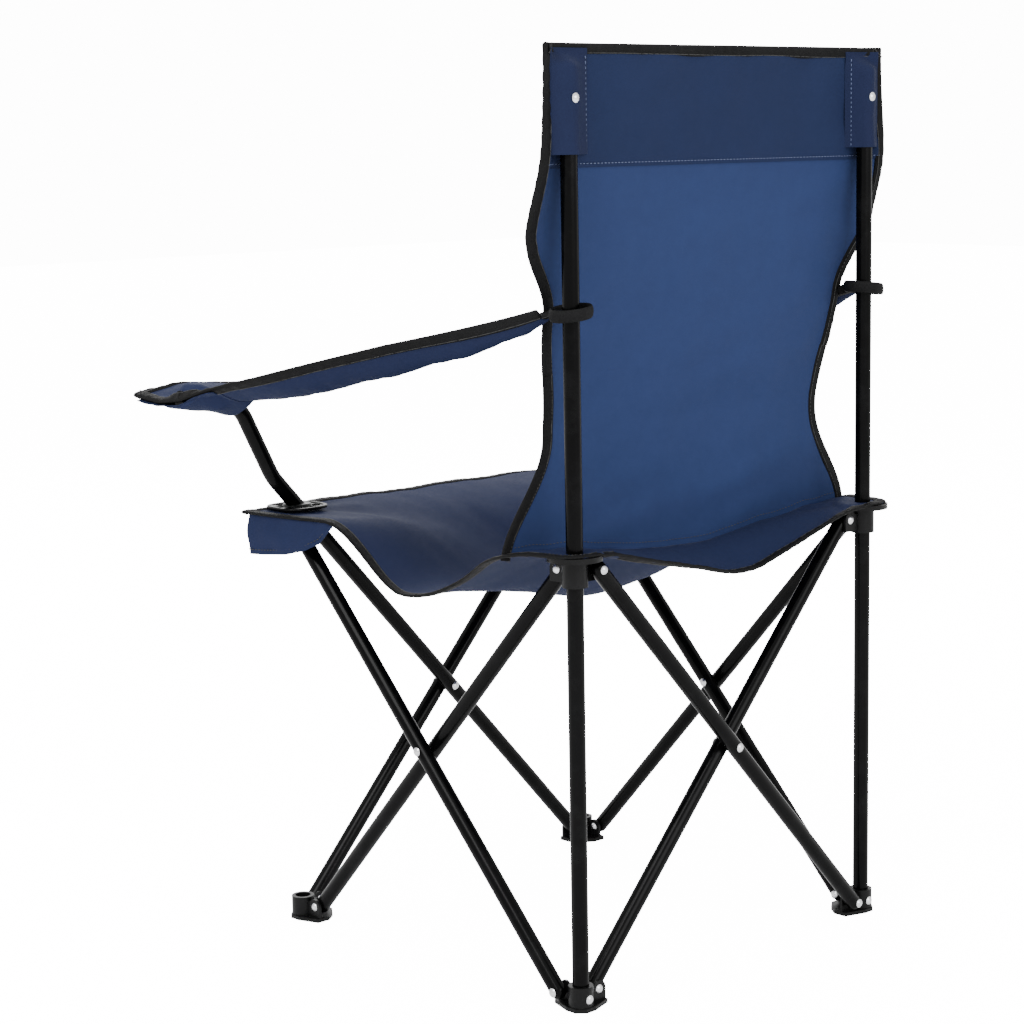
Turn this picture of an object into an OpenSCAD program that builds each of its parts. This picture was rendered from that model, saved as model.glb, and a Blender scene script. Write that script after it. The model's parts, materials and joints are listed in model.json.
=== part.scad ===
// Folding camp chair: four scissor pairs of round tube, four plastic feet, fabric seat, back and armrests.
// Millimetres, Z up, front towards -Y. Left and right are the sitter's, left is +X. Shown open.

/* [Frame] */
// Side of the square that the four corners stand on
plan = 420; // [380:1:460]
// Outside diameter of every tube
tube_d = 16; // [14:0.5:20]
// Tube wall thickness
tube_wall = 1.2; // [0.8:0.1:2]
// Air between the two tubes of a scissor pair
tube_gap = 1.2; // [0.8:0.1:3]
// Distance from a corner post to the pivot of a tube
pivot_in = 22; // [21:0.5:26]
// Height of the foot pivots
foot_pivot_z = 15; // [14:0.5:18]
// Height of the seat pivots
seat_pivot_z = 423; // [400:1:440]
// Top of the two rear uprights
upright_top = 876; // [860:1:890]

/* [Arm posts] */
// Where a post leaves the slope of its tube
post_knee_x = 238; // [232:1:242]
// Slope of the upper post in degrees
post_slope = 63; // [58:1:68]
// Where a post turns under the armrest
post_turn_x = 278; // [270:1:280]
// Slope of the post end in degrees
post_end_slope = 9; // [5:1:20]
// Sideways reach of the post end
post_reach = 350; // [340:1:354]
// Bend radius at the knee
knee_r = 60; // [50:5:80]
// Bend radius at the turn
turn_r = 34; // [28:1:34]

/* [Plastic corners] */
// Outside diameter of the round socket or collar
socket_d = 24; // [23:0.5:26]
// Thickness of the tongue beside a tube
cheek_t = 3; // [2:0.5:4]
// Play between tube and tongue
cheek_play = 0.5; // [0.3:0.1:1]
// Radius of the tongue round the pivot
cheek_r = 8.5; // [7.5:0.1:9]
// Thickness of the floor flange of a foot
flange_t = 4; // [3:0.5:5]

/* [Rivets] */
// Rivet shank diameter
rivet_d = 4; // [3:0.1:5]
// Radial play of a rivet in its hole
rivet_play = 0.05; // [0.02:0.01:0.1]
// Rivet head diameter
head_d = 9; // [7:0.5:10]
// Rivet head height
head_h = 2.2; // [1.5:0.1:3]

/* [Fabric] */
// Fabric thickness of the solids
cloth_t = 1.6; // [1:0.1:3]
// Thickness of the binding tape over an edge
tape_t = 3.2; // [2:0.1:4]
// Width of the binding tape
tape_w = 9; // [6:0.5:12]
// Height of the seat's front edge
seat_z = 439.5; // [430:0.5:450]
// Depth of the seat's hollow
seat_sag = 92; // [60:1:110]
// Sag of the seat's side edges
side_sag = 64; // [30:1:80]
// Front edge of the seat
seat_front_y = -236; // [-240:1:-225]
// Rear edge of the seat
seat_back_y = 232; // [225:1:240]
// Where the seat is hinged between its two halves
seat_fold_y = 5; // [0:1:20]
// Where the back is sewn to the seat
seam_y = 150; // [130:1:160]
// Top edge of the back
back_top_z = 900; // [880:1:905]
// Height where the back can crease
back_fold_z = 600; // [560:1:620]
// Lower edge of the doubled head band
band_z = 790; // [770:1:800]
// Height of the armrest rings on the uprights
arm_ring_z = 658; // [640:1:670]
// Height of the armrest over its post
arm_front_z = 577; // [577:0.5:582]
// Depth of the armrest's hollow
arm_sag = 24; // [10:1:30]
// Rise of the armrest from its middle to its outer edge
arm_tilt = 5; // [4:0.5:7]

/* [Hidden] */
$fn = 48;
eps = 0.01;
corner = plan / 2;
tube_r = tube_d / 2;
off = (tube_d + tube_gap) / 2;
span = plan - 2 * pivot_in;
rise = seat_pivot_z - foot_pivot_z;
link = sqrt(span * span + rise * rise);
elev = atan2(rise, span);
slot = tube_d + 2 * cheek_play;
tongue_x = off - slot / 2 - cheek_t;
collar_rivet_z = 12;
hole_d = rivet_d + 2 * rivet_play;
ring_r = 26;
rear_extent = corner + ring_r;
front_extent = 284.5;
y_shift = (front_extent - rear_extent) / 2;
knee_z = seat_pivot_z + (post_knee_x - span / 2) * tan(elev);
turn_z = knee_z + (post_turn_x - post_knee_x) * tan(post_slope);
end_len = (post_reach - post_turn_x) / cos(post_end_slope);

// ---- helpers ----

module place() {
  translate([0, y_shift, 0]) children();
}

// A part drawn for the rear left corner, turned to another corner: 0 rear left, 1 rear right, 2 front right,
// 3 front left.
module at_corner(k) {
  rotate([0, 0, 90 * k]) translate([corner, corner, 0]) children();
}

module dome() {
  dome_r = (head_d * head_d / 4 + head_h * head_h) / (2 * head_h);
  intersection() {
    cylinder(d = head_d, h = head_h);
    translate([0, 0, head_h - dome_r]) sphere(r = dome_r);
  }
}

// Rivet along Z from z = 0 to z = grip, with a domed head at the end and, if two, at the start.
module rivet(grip, two = true) {
  translate([0, 0, two ? -eps : 0]) cylinder(d = rivet_d, h = grip + (two ? 2 : 1) * eps);
  translate([0, 0, grip]) dome();
  if (two) {
    rotate([180, 0, 0]) dome();
  }
}

// Straight scissor tube along X from pivot to pivot, closed round ends, three rivet holes along Y.
module straight_link() {
  difference() {
    union() {
      rotate([0, 90, 0]) cylinder(r = tube_r, h = link);
      sphere(r = tube_r);
      translate([link, 0, 0]) sphere(r = tube_r);
    }
    rotate([0, 90, 0]) cylinder(r = tube_r - tube_wall, h = link);
    sphere(r = tube_r - tube_wall);
    translate([link, 0, 0]) sphere(r = tube_r - tube_wall);
    for (x = [0, link / 2, link]) {
      translate([x, tube_d, 0]) rotate([90, 0, 0]) cylinder(d = hole_d, h = 2 * tube_d);
    }
  }
}

module torus_arc(bend_r, r, turn) {
  rotate_extrude(angle = turn) translate([bend_r, 0]) circle(r = r);
}

module bend_collar(r) {
  translate([-0.5, 0, 0]) rotate([0, 90, 0]) cylinder(r = r + 0.1, h = 1);
}

// Path of an arm tube in the XY plane: from the lower pivot, through the seat pivot, to the armrest.
// A slightly wider collar covers each end of the bends.
module arm_path(r, trim) {
  knee_turn = post_slope - elev;
  end_turn = post_slope - post_end_slope;
  knee_t = knee_r * tan(knee_turn / 2);
  end_t = turn_r * tan(end_turn / 2);
  to_knee = (post_knee_x + span / 2) / cos(elev);
  mid_len = (post_turn_x - post_knee_x) / cos(post_slope);
  translate([-span / 2, foot_pivot_z, 0]) rotate([0, 0, elev]) {
    sphere(r = r);
    rotate([0, 90, 0]) cylinder(r = r, h = to_knee - knee_t);
    translate([to_knee - knee_t, knee_r, 0]) rotate([0, 0, -90]) torus_arc(knee_r, r, knee_turn);
  }
  translate([post_knee_x, knee_z, 0]) rotate([0, 0, post_slope]) {
    translate([knee_t, 0, 0]) bend_collar(r);
    translate([knee_t, 0, 0]) rotate([0, 90, 0]) cylinder(r = r, h = mid_len - knee_t - end_t);
    translate([mid_len - end_t, 0, 0]) bend_collar(r);
    translate([mid_len - end_t, -turn_r, 0]) rotate([0, 0, 90 - end_turn]) torus_arc(turn_r, r, end_turn);
  }
  translate([post_turn_x, turn_z, 0]) rotate([0, 0, post_end_slope]) {
    translate([end_t, 0, 0]) bend_collar(r);
    translate([end_t, 0, 0]) rotate([0, 90, 0]) cylinder(r = r, h = end_len - end_t - trim);
  }
}

// Arm tube in the XZ plane, its rivet holes along Y and one along Z under the armrest.
module arm_link() {
  difference() {
    rotate([90, 0, 0]) arm_path(tube_r, 0);
    rotate([90, 0, 0]) arm_path(tube_r - tube_wall, tube_wall);
    for (s = [0, 0.5, 1]) {
      translate([span * (s - 0.5), tube_d, foot_pivot_z + rise * s]) rotate([90, 0, 0])
        cylinder(d = hole_d, h = 2 * tube_d);
    }
    arm_rivet_place() translate([0, 0, -tube_d]) cylinder(d = hole_d, h = 2 * tube_d);
  }
}

module arm_rivet_place() {
  translate([post_turn_x, 0, turn_z]) rotate([0, -post_end_slope, 0])
    translate([end_len - 14, 0, 0]) children();
}

// ---- plastic corner pieces, drawn with the post axis at the origin ----

// Tongue along -Y beside a tube whose plane is x = off, pivot at z = pz, solid down to z = low.
module tongue(pz, low, top) {
  translate([tongue_x, 0, 0]) {
    translate([0, -pivot_in, low]) cube([cheek_t, pivot_in, top - low]);
    translate([0, -pivot_in - cheek_r, low]) cube([cheek_t, cheek_r + 1, pz - low]);
    translate([0, -pivot_in, pz]) rotate([0, 90, 0]) cylinder(r = cheek_r, h = cheek_t);
  }
}

// Shared body: round post collar, a tongue for each of the two tubes and a gusset between them.
module corner_body(pz, low, top, collar_low, collar_top) {
  web = socket_d / 2 - 0.5;
  translate([0, 0, collar_low]) cylinder(d = socket_d, h = collar_top - collar_low);
  tongue(pz, low, top);
  rotate([0, 0, -90]) tongue(pz, low, top);
  translate([-web, -web, low]) cube([web, web, top - low]);
}

module corner_holes(pz) {
  for (turn = [0, -90]) {
    rotate([0, 0, turn]) translate([tongue_x - 1, -pivot_in, pz]) rotate([0, 90, 0])
      cylinder(d = hole_d, h = cheek_t + 2);
  }
}

module foot() {
  difference() {
    union() {
      corner_body(foot_pivot_z, 0, 20, 0, 24);
      linear_extrude(height = flange_t) polygon([[13, -7], [13, 5], [5, 13], [-7, 13], [-31, 5],
        [-31, -10], [-22, -22], [-10, -31], [5, -31]]);
    }
    translate([0, 0, flange_t]) cylinder(d = tube_d + 0.2, h = 60);
    corner_holes(foot_pivot_z);
  }
}

// Foot with a hole for the rivet that holds its upright.
module rear_foot(turn) {
  difference() {
    foot();
    rotate([0, 0, turn]) collar_hole();
  }
}

module collar_hole() {
  translate([0, 4, collar_rivet_z]) rotate([-90, 0, 0]) cylinder(d = hole_d, h = 10);
}

module slider() {
  mirror([1, -1, 0]) difference() {
    corner_body(seat_pivot_z, seat_pivot_z - 12, seat_pivot_z + 5, seat_pivot_z - 15, seat_pivot_z + 8);
    translate([0, 0, seat_pivot_z - 40]) cylinder(d = tube_d + 0.8, h = 80);
    corner_holes(seat_pivot_z);
  }
}

module hub() {
  mirror([1, -1, 0]) difference() {
    corner_body(seat_pivot_z, seat_pivot_z - 18, seat_pivot_z - 4, seat_pivot_z - 21, seat_pivot_z - 5);
    corner_holes(seat_pivot_z);
  }
}

// The two pivot rivets of a corner piece, each with one head on a tube.
module corner_rivets(pz) {
  for (turn = [0, -90]) {
    rotate([0, 0, turn]) translate([tongue_x, -pivot_in, pz]) rotate([0, 90, 0])
      rivet(cheek_t + slot / 2 + tube_r + 0.05);
  }
}

module crossing_rivet() {
  grip = 2 * tube_d + tube_gap;
  translate([0, corner - grip / 2, (foot_pivot_z + seat_pivot_z) / 2]) rotate([-90, 0, 0]) rivet(grip);
}

// ---- fabric surfaces ----

function ease(t) = (1 - cos(180 * min(1, max(0, t)))) / 2;
function mix(a, b, t) = a + (b - a) * t;
function bump(t) = abs(t) < 1 ? pow(cos(90 * t), 2) : 0;

function seat_half(y) = y < 60
  ? 226 + 26 * ease((-20 - y) / 216)
  : y < seam_y ? mix(226, 250, ease((y - 60) / 90)) : mix(250, 238, ease((y - seam_y) / 82));
function seat_side(y) = seat_z - 0.5 - side_sag * bump((y + 15) / (y < -15 ? 110 : 200));
function seat_mid(y) = y < 15
  ? seat_z - seat_sag * pow(cos(90 * min(1, (15 - y) / 245)), 2)
  : y < seam_y ? mix(seat_z - seat_sag, 413, ease((y - 15) / 135)) : mix(413, 397, ease((y - seam_y) / 82));
function seat_h(u, y) = mix(seat_mid(y), seat_side(y), pow(sin(90 * abs(u)), 1.6));
function seat_pt(u, y) = [u * seat_half(y), y, seat_h(u, y)];

function back_half(z) = z < 540
  ? mix(248, 196, ease((z - 424) / 116))
  : z < 655 ? mix(196, 204, ease((z - 540) / 115))
  : z < 735 ? mix(204, 245, ease((z - 655) / 80)) : mix(245, 236, ease((z - 735) / 165));
function back_y(z) = z < 550 ? mix(seam_y + 1, 157, (z - 420) / 130)
  : z < 720 ? mix(157, 186, (z - 550) / 170) : mix(186, 197.5, ease((z - 720) / 100));
function back_low(u) = seat_h(u, seam_y) + tape_t / 2 + 1.2;
function back_pt(u, z) = [u * back_half(z), back_y(z) + 6 * (1 - u * u) * bump((z - 600) / 260), z];

// Armrest: v runs from the ring (0) to the front edge (1), u across.
function arm_mid(v) = [mix(222, 297, ease(v * 1.15)), mix(190, -front_extent, v),
  mix(arm_ring_z + 2, arm_front_z, ease(v * 1.2))];
function arm_half(v) = mix(14, 55, ease(v * 1.25));
function arm_pt(u, v) = arm_mid(v) + [u * arm_half(v), 0,
  arm_tilt * u * ease(v * 1.2) - arm_sag * (1 - u * u) * bump((v - 0.42) / 0.4) - 8 * max(0, v - 0.9) / 0.1];

// Thin solid between two copies of a point grid, moved apart by the vector t.
module skin(grid, nu, nv, t) {
  n = (nu + 1) * (nv + 1);
  top = [for (p = grid) p + t / 2];
  low = [for (p = grid) p - t / 2];
  row = nv + 1;
  up = [for (i = [0 : nu - 1]) for (j = [0 : nv - 1]) for (f = [0, 1])
    let (a = i * row + j, b = a + row) f == 0 ? [a, a + 1, b + 1] : [a, b + 1, b]];
  down = [for (f = up) [f[2] + n, f[1] + n, f[0] + n]];
  edge = concat(
    [for (j = [0 : nv - 1]) for (f = [0, 1]) f == 0 ? [j + 1, j, j + n] : [j + 1, j + n, j + 1 + n]],
    [for (j = [0 : nv - 1]) let (k = nu * row + j) for (f = [0, 1])
      f == 0 ? [k, k + 1, k + 1 + n] : [k, k + 1 + n, k + n]],
    [for (i = [0 : nu - 1]) let (k = i * row, m = k + row) for (f = [0, 1])
      f == 0 ? [k, m, m + n] : [k, m + n, k + n]],
    [for (i = [0 : nu - 1]) let (k = i * row + nv, m = k + row) for (f = [0, 1])
      f == 0 ? [m, k, k + n] : [m, k + n, m + n]]);
  polyhedron(points = concat(top, low), faces = concat(up, down, edge));
}

module seat_sheet(u0, u1, y0, y1, nu, nv, t) {
  skin([for (i = [0 : nu]) for (j = [0 : nv]) seat_pt(mix(u0, u1, i / nu), mix(y0, y1, j / nv))],
    nu, nv, [0, 0, t]);
}

module back_sheet(u0, u1, z0, z1, nu, nv, t, dy) {
  skin([for (i = [0 : nu]) for (j = [0 : nv]) let (u = mix(u0, u1, i / nu))
    back_pt(u, mix(z0 < 0 ? back_low(u) : z0, z1, j / nv)) + [0, dy, 0]], nu, nv, [0, -t, 0]);
}

module arm_sheet(u0, u1, v0, v1, nu, nv, t) {
  skin([for (i = [0 : nu]) for (j = [0 : nv]) arm_pt(mix(u0, u1, i / nu), mix(v0, v1, j / nv))],
    nu, nv, [0, 0, t]);
}

// Columns over the posts and rings that pass through the seat.
module seat_holes() {
  for (s = [-1, 1]) {
    translate([s * 203.5, -corner - s * -off, 300]) cylinder(r = 15, h = 200);
    translate([s * corner, corner, 300]) cylinder(r = ring_r + 1, h = 200);
    translate([s * (corner + 25) - 25, corner, 300]) cube([50, 50, 200]);
  }
}

// Share of the half width that is left between cloth and tape.
seam = 0.003;
seat_u = 1 - tape_w / 240;
back_u = 1 - tape_w / 225;
arm_u = 1 - tape_w / 55;

// ---- nodes ----

module upright() {
  difference() {
    translate([0, 0, flange_t]) cylinder(r = tube_r, h = upright_top - flange_t);
    translate([0, 0, flange_t - 1]) cylinder(r = tube_r - tube_wall, h = upright_top);
    translate([0, tube_d, 852]) rotate([90, 0, 0]) cylinder(d = hole_d, h = 2 * tube_d);
    collar_hole();
  }
}

module upright_left() {
  color("#141414") place() at_corner(0) upright();
}

module upright_right() {
  color("#141414") place() at_corner(1) rotate([0, 0, -90]) upright();
}

module cap() {
  translate([0, 0, upright_top]) cylinder(r = tube_r, h = 2);
  translate([0, 0, upright_top - 10]) cylinder(r = tube_r - tube_wall, h = 11);
}

module cap_left() {
  color("#1c1c1c") place() at_corner(0) cap();
}

module cap_right() {
  color("#1c1c1c") place() at_corner(1) cap();
}

module foot_rear_left() {
  color("#1c1c1c") place() at_corner(0) rear_foot(0);
}

module foot_rear_right() {
  color("#1c1c1c") place() at_corner(1) rear_foot(-90);
}

module foot_front_right() {
  color("#1c1c1c") place() at_corner(2) foot();
}

module foot_front_left() {
  color("#1c1c1c") place() at_corner(3) foot();
}

module slider_left() {
  color("#1c1c1c") place() at_corner(0) slider();
}

module slider_right() {
  color("#1c1c1c") place() at_corner(1) slider();
}

module hub_right() {
  color("#1c1c1c") place() at_corner(2) hub();
}

module hub_left() {
  color("#1c1c1c") place() at_corner(3) hub();
}

// Scissor tube on side k, in the outer (1) or inner (-1) plane, drawn for the rear side.
module scissor(k, outer) {
  rotate([0, 0, 90 * k]) translate([-outer * span / 2, corner + outer * off, foot_pivot_z])
    rotate([0, outer > 0 ? -elev : -180 + elev, 0]) straight_link();
}

module tube_rear_a() {
  color("#141414") place() scissor(0, 1);
}

module tube_rear_b() {
  color("#141414") place() scissor(0, -1);
}

module tube_right_a() {
  color("#141414") place() scissor(1, 1);
}

module tube_right_b() {
  color("#141414") place() scissor(1, -1);
}

module tube_left_b() {
  color("#141414") place() scissor(3, 1);
}

module tube_left_a() {
  color("#141414") place() scissor(3, -1);
}

module tube_front_a() {
  color("#141414") place() translate([0, -corner + off, 0]) arm_link();
}

module tube_front_b() {
  color("#141414") place() translate([0, -corner - off, 0]) mirror([1, 0, 0]) arm_link();
}

// Rivets that hold an upright in its sleeve and in its foot, one head each, at the rear.
module post_rivets() {
  translate([0, -9.8, 852]) rotate([-90, 0, 0]) rivet(19.9, false);
  translate([0, 6, collar_rivet_z]) rotate([-90, 0, 0]) rivet(6, false);
}

module rivets_post_left() {
  color("#c8c8c8") place() at_corner(0) {
    corner_rivets(foot_pivot_z);
    post_rivets();
  }
}

module rivets_post_right() {
  color("#c8c8c8") place() at_corner(1) {
    corner_rivets(foot_pivot_z);
    rotate([0, 0, -90]) post_rivets();
  }
}

module rivets_foot_right() {
  color("#c8c8c8") place() at_corner(2) corner_rivets(foot_pivot_z);
}

module rivets_foot_left() {
  color("#c8c8c8") place() at_corner(3) corner_rivets(foot_pivot_z);
}

module rivets_slider_left() {
  color("#c8c8c8") place() at_corner(0) mirror([1, -1, 0]) corner_rivets(seat_pivot_z);
}

module rivets_slider_right() {
  color("#c8c8c8") place() at_corner(1) mirror([1, -1, 0]) corner_rivets(seat_pivot_z);
}

module rivets_hub_right() {
  color("#c8c8c8") place() at_corner(2) mirror([1, -1, 0]) corner_rivets(seat_pivot_z);
}

module rivets_hub_left() {
  color("#c8c8c8") place() at_corner(3) mirror([1, -1, 0]) corner_rivets(seat_pivot_z);
}

module rivet_rear() {
  color("#c8c8c8") place() crossing_rivet();
}

module rivet_right() {
  color("#c8c8c8") place() rotate([0, 0, 90]) crossing_rivet();
}

module rivet_left() {
  color("#c8c8c8") place() rotate([0, 0, 270]) crossing_rivet();
}

module arm_rivet() {
  arm_rivet_place() translate([0, 0, -tube_r]) rivet(tube_d + 0.2);
}

module rivets_front_a() {
  color("#c8c8c8") place() {
    rotate([0, 0, 180]) crossing_rivet();
    translate([0, -corner + off, 0]) arm_rivet();
  }
}

module rivet_front_b() {
  color("#c8c8c8") place() translate([0, -corner - off, 0]) mirror([1, 0, 0]) arm_rivet();
}

module seat_front() {
  color("#26386b") place() difference() {
    seat_sheet(-seat_u + seam, seat_u - seam, seat_front_y + tape_w + 0.5, seat_fold_y - 0.2,
      18, 16, cloth_t);
    seat_holes();
  }
}

module seat_rear() {
  color("#26386b") place() difference() {
    seat_sheet(-seat_u + seam, seat_u - seam, seat_fold_y + 0.2, seat_back_y - tape_w - 0.5, 18, 16, cloth_t);
    seat_holes();
  }
}

module seat_tape_front() {
  color("#101010") place() {
    seat_sheet(-1, -seat_u, seat_front_y, seat_fold_y - 0.2, 1, 16, tape_t);
    seat_sheet(seat_u, 1, seat_front_y, seat_fold_y - 0.2, 1, 16, tape_t);
    seat_sheet(-seat_u, seat_u, seat_front_y, seat_front_y + tape_w, 18, 1, tape_t);
  }
}

module seat_tape_rear() {
  color("#101010") place() difference() {
    union() {
      seat_sheet(-1, -seat_u, seat_fold_y + 0.2, seat_back_y, 1, 16, tape_t);
      seat_sheet(seat_u, 1, seat_fold_y + 0.2, seat_back_y, 1, 16, tape_t);
      seat_sheet(-seat_u, seat_u, seat_back_y - tape_w, seat_back_y, 18, 1, tape_t);
    }
    seat_holes();
  }
}

module back_upper() {
  color("#2c4178") place()
    back_sheet(-back_u + seam, back_u - seam, back_fold_z + 0.2, back_top_z - tape_w - 0.3,
      12, 20, cloth_t, 0);
}

module back_lower() {
  color("#2c4178") place()
    back_sheet(-back_u + seam, back_u - seam, -1, back_fold_z - 0.2, 18, 10, cloth_t, 0);
}

module back_tape_upper() {
  color("#101010") place() {
    back_sheet(-1, -back_u, back_fold_z + 0.2, back_top_z, 1, 20, tape_t, 0);
    back_sheet(back_u, 1, back_fold_z + 0.2, back_top_z, 1, 20, tape_t, 0);
    back_sheet(-back_u, back_u, back_top_z - tape_w, back_top_z, 12, 1, tape_t, 0);
  }
}

module back_tape_lower() {
  color("#101010") place() {
    back_sheet(-1, -back_u, -1, back_fold_z - 0.2, 1, 10, tape_t, 0);
    back_sheet(back_u, 1, -1, back_fold_z - 0.2, 1, 10, tape_t, 0);
  }
}

module head_band() {
  color("#1f2d5a") place()
    back_sheet(-back_u * 0.8, back_u * 0.8, band_z, back_top_z - tape_w - 0.3, 10, 6, 1, cloth_t / 2 + 1);
}

// Pocket of cloth over the top of an upright.
module sleeve() {
  difference() {
    union() {
      translate([0, 0, 802]) cylinder(r = tube_r + 2, h = upright_top + 6 - 802);
      translate([-14, -10.3, 802]) cube([40, 2, upright_top + 6 - 802]);
    }
    translate([0, 0, 800]) cylinder(r = tube_r + 0.3, h = upright_top + 2.4 - 800);
    translate([0, tube_d, 852]) rotate([90, 0, 0]) cylinder(d = hole_d, h = 2 * tube_d);
  }
}

module sleeve_left() {
  color("#26386b") place() translate([corner, corner, 0]) sleeve();
}

module sleeve_right() {
  color("#26386b") place() translate([-corner, corner, 0]) mirror([1, 0, 0]) sleeve();
}

module armrest() {
  arm_sheet(-arm_u + 3 * seam, arm_u - 3 * seam, 0, 1 - (tape_w + 0.6) / 475, 8, 20, cloth_t);
}

module arm_tape() {
  arm_sheet(-1, -arm_u, 0, 1, 1, 20, tape_t);
  arm_sheet(arm_u, 1, 0, 1, 1, 20, tape_t);
  arm_sheet(-arm_u, arm_u, 1 - tape_w / 475, 1, 8, 1, tape_t);
}

module armrest_left() {
  color("#26386b") place() armrest();
}

module armrest_right() {
  color("#26386b") place() mirror([1, 0, 0]) armrest();
}

module arm_tape_left() {
  color("#101010") place() arm_tape();
}

module arm_tape_right() {
  color("#101010") place() mirror([1, 0, 0]) arm_tape();
}

// Pocket of cloth that hangs over the outside of a front hub.
module flap() {
  translate([249, 0, 0]) rotate([90, 0, 90]) linear_extrude(height = cloth_t)
    polygon([[seat_front_y, 395], [-160, 395], [-112, 424], [-112, 430], [-160, 435], [seat_front_y, 436.5]]);
  translate([180, seat_front_y, 395]) cube([69 + cloth_t, cloth_t, 41]);
}

module flap_left() {
  color("#26386b") place() flap();
}

module flap_right() {
  color("#26386b") place() mirror([1, 0, 0]) flap();
}

module seat_plate(y) {
  difference() {
    translate([208, -207, 441.6]) cylinder(r = 28, h = 3);
    translate([0, y, 0]) rotate([90, 0, 0]) arm_path(tube_r + 0.3, 0);
  }
}

module seat_plate_left() {
  color("#1c1c1c") place() seat_plate(-corner + off);
}

module seat_plate_right() {
  color("#1c1c1c") place() mirror([1, 0, 0]) seat_plate(-corner - off);
}

module ring(r, z, h) {
  translate([corner, corner, z]) difference() {
    cylinder(r = r, h = h);
    translate([0, 0, -1]) cylinder(d = tube_d + 0.8, h = h + 2);
  }
}

module seat_ring_left() {
  color("#1c1c1c") place() ring(ring_r, seat_pivot_z + 10, 5);
}

module seat_ring_right() {
  color("#1c1c1c") place() mirror([1, 0, 0]) ring(ring_r, seat_pivot_z + 10, 5);
}

module arm_ring_left() {
  color("#1c1c1c") place() ring(19, arm_ring_z, 5);
}

module arm_ring_right() {
  color("#1c1c1c") place() mirror([1, 0, 0]) ring(19, arm_ring_z, 5);
}

upright_left();
upright_right();
cap_left();
cap_right();
foot_rear_left();
foot_rear_right();
foot_front_left();
foot_front_right();
slider_left();
slider_right();
hub_left();
hub_right();
tube_left_a();
tube_left_b();
tube_rear_a();
tube_rear_b();
tube_right_a();
tube_right_b();
tube_front_a();
tube_front_b();
rivets_post_left();
rivets_post_right();
rivets_foot_left();
rivets_foot_right();
rivets_slider_left();
rivets_slider_right();
rivets_hub_left();
rivets_hub_right();
rivet_left();
rivet_rear();
rivet_right();
rivets_front_a();
rivet_front_b();
seat_front();
seat_rear();
seat_tape_front();
seat_tape_rear();
back_upper();
back_lower();
back_tape_upper();
back_tape_lower();
head_band();
sleeve_left();
sleeve_right();
armrest_left();
armrest_right();
arm_tape_left();
arm_tape_right();
flap_left();
flap_right();
seat_plate_left();
seat_plate_right();
seat_ring_left();
seat_ring_right();
arm_ring_left();
arm_ring_right();
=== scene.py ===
"""Looks of the folding camp chair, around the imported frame. Metres; the front is towards -Y."""
import json
import math

import bpy
import numpy as np
from mathutils import Matrix, Vector


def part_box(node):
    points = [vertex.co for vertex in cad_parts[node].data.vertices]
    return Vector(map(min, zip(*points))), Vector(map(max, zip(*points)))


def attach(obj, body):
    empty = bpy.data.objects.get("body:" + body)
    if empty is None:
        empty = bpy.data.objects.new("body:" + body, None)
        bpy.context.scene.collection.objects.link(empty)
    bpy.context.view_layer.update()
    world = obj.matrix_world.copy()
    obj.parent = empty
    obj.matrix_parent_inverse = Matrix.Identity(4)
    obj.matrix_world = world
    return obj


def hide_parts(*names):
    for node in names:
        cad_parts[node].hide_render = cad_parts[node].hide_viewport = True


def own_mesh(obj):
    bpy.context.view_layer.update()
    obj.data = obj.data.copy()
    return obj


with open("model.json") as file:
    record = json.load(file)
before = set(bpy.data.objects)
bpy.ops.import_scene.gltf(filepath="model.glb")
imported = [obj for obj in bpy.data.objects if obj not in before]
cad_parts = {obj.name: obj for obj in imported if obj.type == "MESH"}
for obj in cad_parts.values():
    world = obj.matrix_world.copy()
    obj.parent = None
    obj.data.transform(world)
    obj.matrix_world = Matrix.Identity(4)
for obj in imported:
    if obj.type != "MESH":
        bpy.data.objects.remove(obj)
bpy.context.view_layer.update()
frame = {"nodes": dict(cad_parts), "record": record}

PI = math.pi

# ---- places taken from the frame ----

post_low, post_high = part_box("upright_left")
CORNER = (post_low.x + post_high.x) / 2
SHIFT_Y = (post_low.y + post_high.y) / 2 - CORNER
TUBE_R = (post_high.x - post_low.x) / 2
POST_TOP = post_high.z
RING_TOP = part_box("seat_ring_left")[1].z
ARM_RING_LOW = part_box("arm_ring_left")[0].z
BACK_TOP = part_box("back_tape_upper")[1].z
SEAT_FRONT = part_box("seat_tape_front")[0].y - SHIFT_Y
SEAT_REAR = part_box("seat_tape_rear")[1].y - SHIFT_Y
ARM_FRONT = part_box("armrest_left")[0].y - SHIFT_Y

# ---- driving sizes of the cloth, with Y measured from the middle of the four corners ----

SEAT_Z = 0.4395         # height of the seat at its corners
SEAT_SAG = 0.092        # depth of the seat's hollow
SIDE_SAG = 0.064        # how far the seat's side edges hang
SIDE_LOWEST_Y = -0.015  # where they hang lowest
SEAT_CREASE = 0.005     # Y where the seat's front and rear halves meet
SEAM_Y = 0.150          # Y of the seam between back and seat
CORNER_ROUND = 0.028    # radius of the seat's rear corners
ROUND_START = SEAT_REAR - CORNER_ROUND
BACK_CREASE = 0.600     # height where the lower and upper back meet
BAND_LOW = 0.790        # lower edge of the doubled band across the back

SLEEVE_LOW = 0.802      # mouth of the sleeves on the uprights
SLEEVE_HIGH = 0.8965    # upper end of the sleeves, under the tape
SLEEVE_FLAT = -0.0102   # depth of a sleeve's inner sewn edge, from the upright's middle
SLEEVE_LIFT = 0.009     # how much further back its outer edge lies

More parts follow.
